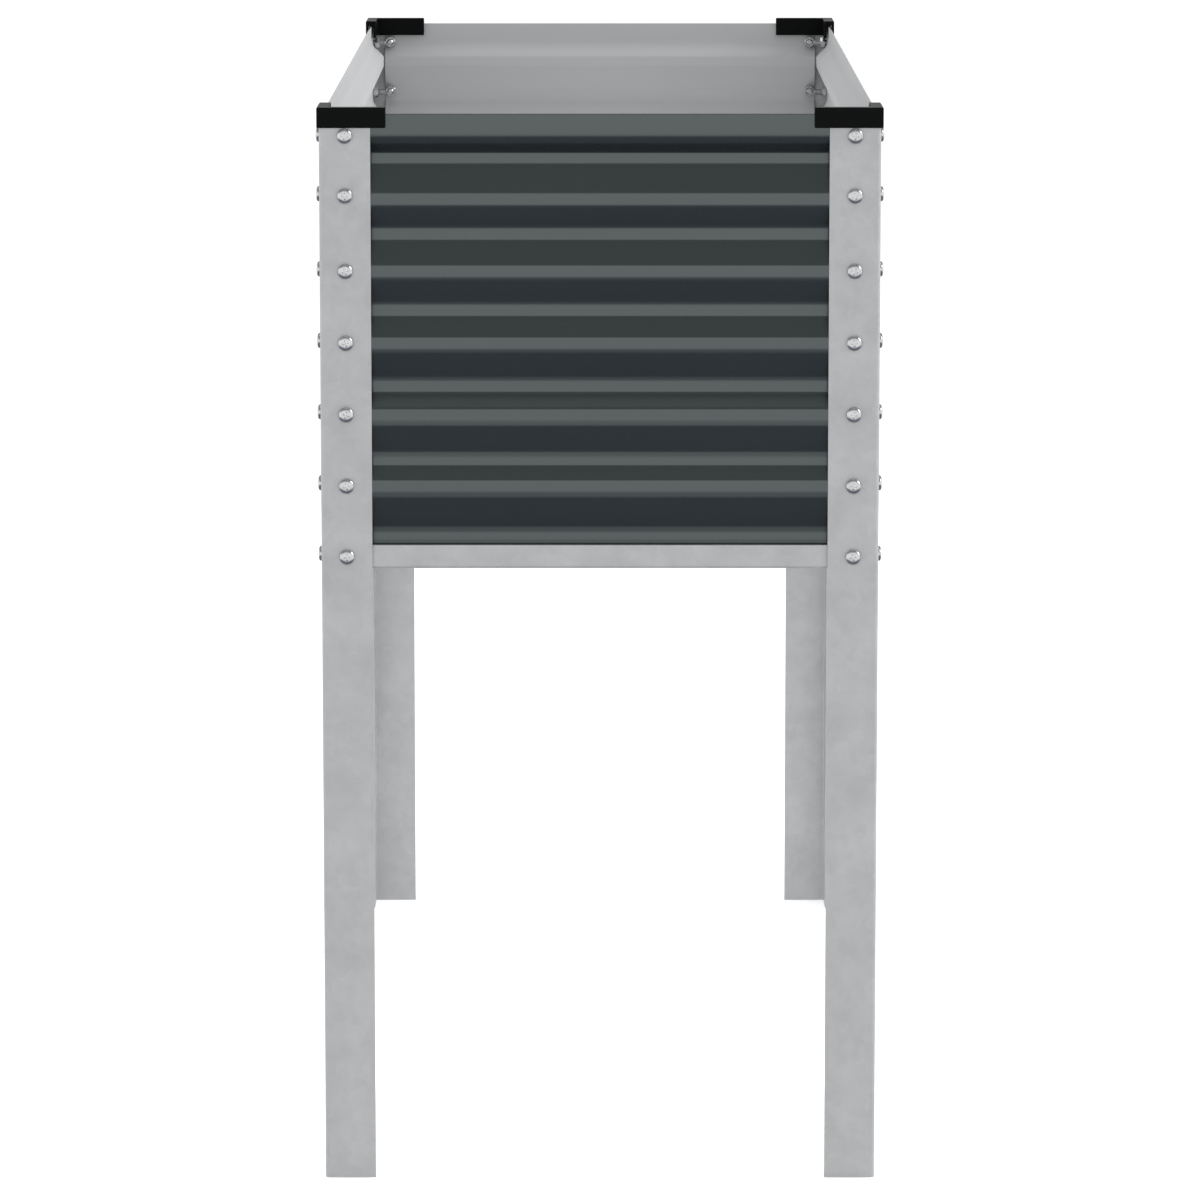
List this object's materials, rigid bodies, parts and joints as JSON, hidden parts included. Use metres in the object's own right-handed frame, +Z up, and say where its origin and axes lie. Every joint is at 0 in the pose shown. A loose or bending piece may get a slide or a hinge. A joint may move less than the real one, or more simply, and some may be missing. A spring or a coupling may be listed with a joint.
{
  "type": "raised garden planter on legs",
  "caption": "Long rectangular corrugated steel planting trough raised on folded angle legs, open at the top, with moulded corner caps, foot rails and a slatted floor.",
  "frame": {"origin": "on the ground, at the centre of the four feet", "axes": "+Y along the long side, +X along the short side, +Z up"},
  "size_m": [0.4058, 1.0058, 0.78],
  "materials": {
    "galvanised_steel": "hot-dip galvanised, matt, faint crystal mottling",
    "panel_paint": "satin anthracite paint outside, light grey paint inside",
    "cap_plastic": "satin black moulded plastic",
    "zinc_plate": "bright zinc plate"
  },
  "bodies": {
    "root": {"leg_front_left": "galvanised_steel", "leg_front_right": "galvanised_steel", "leg_back_right": "galvanised_steel", "leg_back_left": "galvanised_steel", "corner_cap_front_left": "cap_plastic", "corner_cap_front_right": "cap_plastic", "corner_cap_back_right": "cap_plastic", "corner_cap_back_left": "cap_plastic", "end_panel_front": "panel_paint", "side_panel_right": "panel_paint", "end_panel_back": "panel_paint", "side_panel_left": "panel_paint", "end_rail_front": "galvanised_steel", "side_rail_right": "galvanised_steel", "end_rail_back": "galvanised_steel", "side_rail_left": "galvanised_steel", "floor_slat_01": "galvanised_steel", "floor_slat_02": "galvanised_steel", "floor_slat_03": "galvanised_steel", "floor_slat_04": "galvanised_steel", "floor_slat_05": "galvanised_steel", "floor_slat_06": "galvanised_steel", "floor_slat_07": "galvanised_steel", "floor_slat_08": "galvanised_steel", "floor_slat_09": "galvanised_steel", "floor_slat_10": "galvanised_steel", "bolt_top_front_left_end": "zinc_plate", "bolt_top_front_left_side": "zinc_plate", "bolt_top_front_right_end": "zinc_plate", "bolt_top_front_right_side": "zinc_plate", "bolt_top_back_right_end": "zinc_plate", "bolt_top_back_right_side": "zinc_plate", "bolt_top_back_left_end": "zinc_plate", "bolt_top_back_left_side": "zinc_plate", "bolt_bottom_front_left_end": "zinc_plate", "bolt_bottom_front_left_side": "zinc_plate", "bolt_bottom_front_right_end": "zinc_plate", "bolt_bottom_front_right_side": "zinc_plate", "bolt_bottom_back_right_end": "zinc_plate", "bolt_bottom_back_right_side": "zinc_plate", "bolt_bottom_back_left_end": "zinc_plate", "bolt_bottom_back_left_side": "zinc_plate", "nut_top_front_left_end": "zinc_plate", "nut_top_front_left_side": "zinc_plate", "nut_top_front_right_end": "zinc_plate", "nut_top_front_right_side": "zinc_plate", "nut_top_back_right_end": "zinc_plate", "nut_top_back_right_side": "zinc_plate", "nut_top_back_left_end": "zinc_plate", "nut_top_back_left_side": "zinc_plate", "nut_bottom_front_left_end": "zinc_plate", "nut_bottom_front_left_side": "zinc_plate", "nut_bottom_front_right_end": "zinc_plate", "nut_bottom_front_right_side": "zinc_plate", "nut_bottom_back_right_end": "zinc_plate", "nut_bottom_back_right_side": "zinc_plate", "nut_bottom_back_left_end": "zinc_plate", "nut_bottom_back_left_side": "zinc_plate"}
  },
  "joints": []
}
